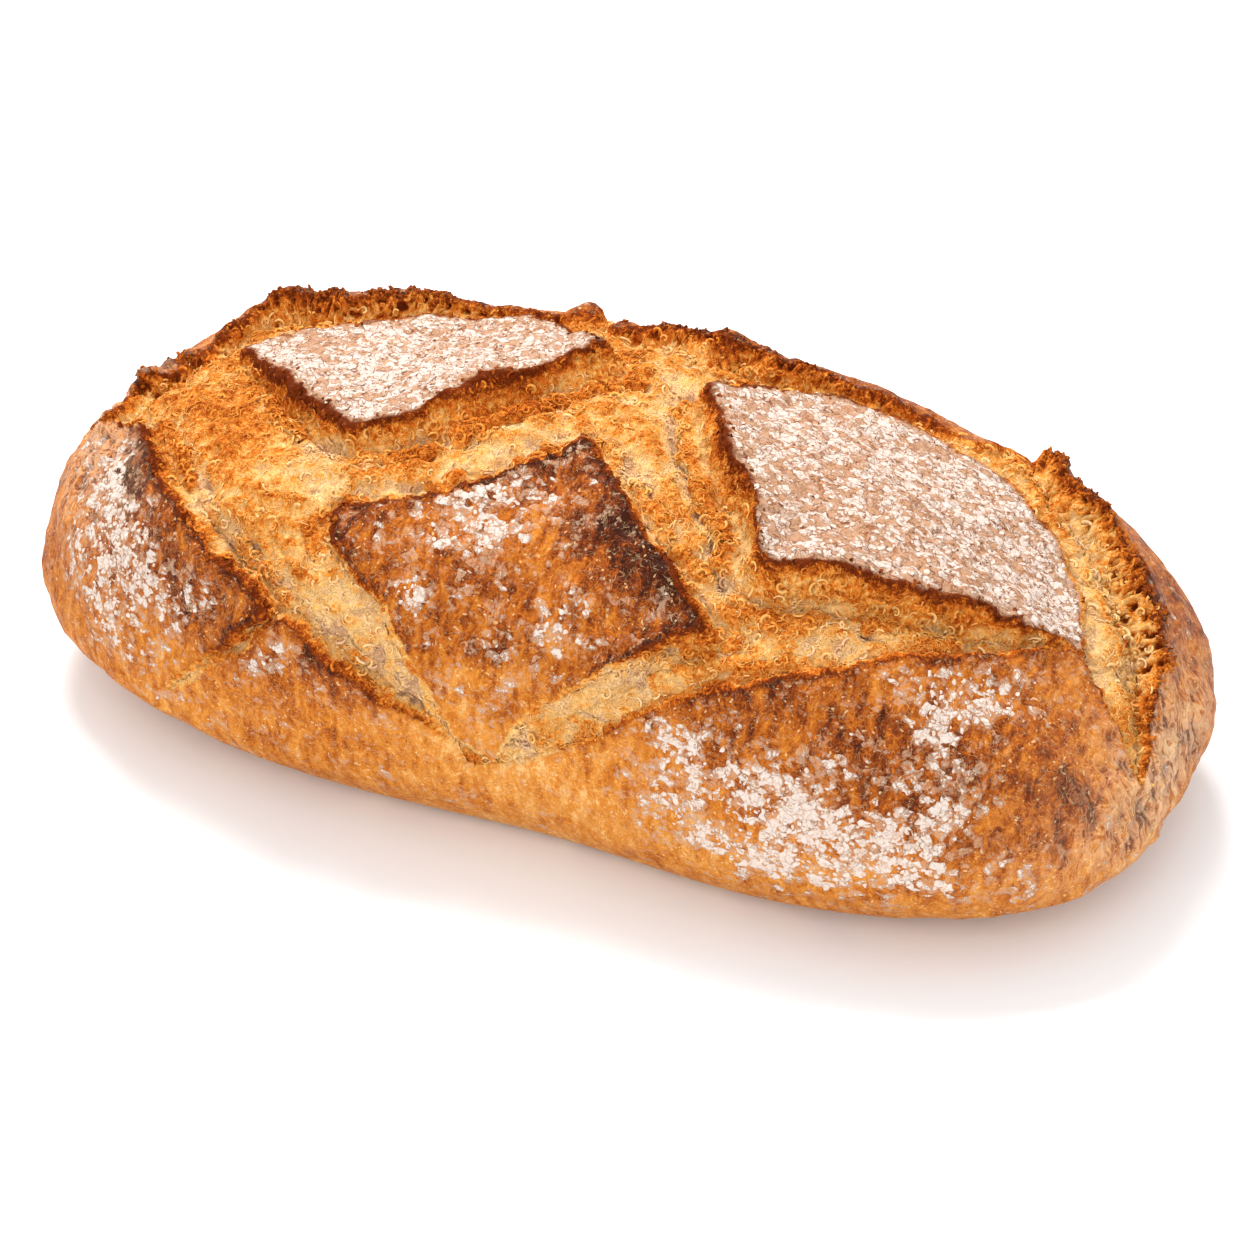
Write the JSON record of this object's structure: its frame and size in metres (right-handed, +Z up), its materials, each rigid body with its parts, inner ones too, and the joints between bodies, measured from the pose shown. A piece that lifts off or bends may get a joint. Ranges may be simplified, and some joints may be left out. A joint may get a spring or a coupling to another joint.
{
  "type": "bread loaf",
  "caption": "Rustic oval loaf of crusty white bread, scored on top, with raised floury crust plates, torn open crumb between them and a flat sole.",
  "frame": {"origin": "middle of the loaf's box, on the flat sole that it rests on", "axes": "+X along the loaf, +Y towards its back, +Z up from the sole"},
  "size_m": [0.3006, 0.1528, 0.1011],
  "materials": {
    "crust": null,
    "crumb": null,
    "flour": null
  },
  "bodies": {
    "root": {"loaf": "crust"}
  },
  "joints": []
}
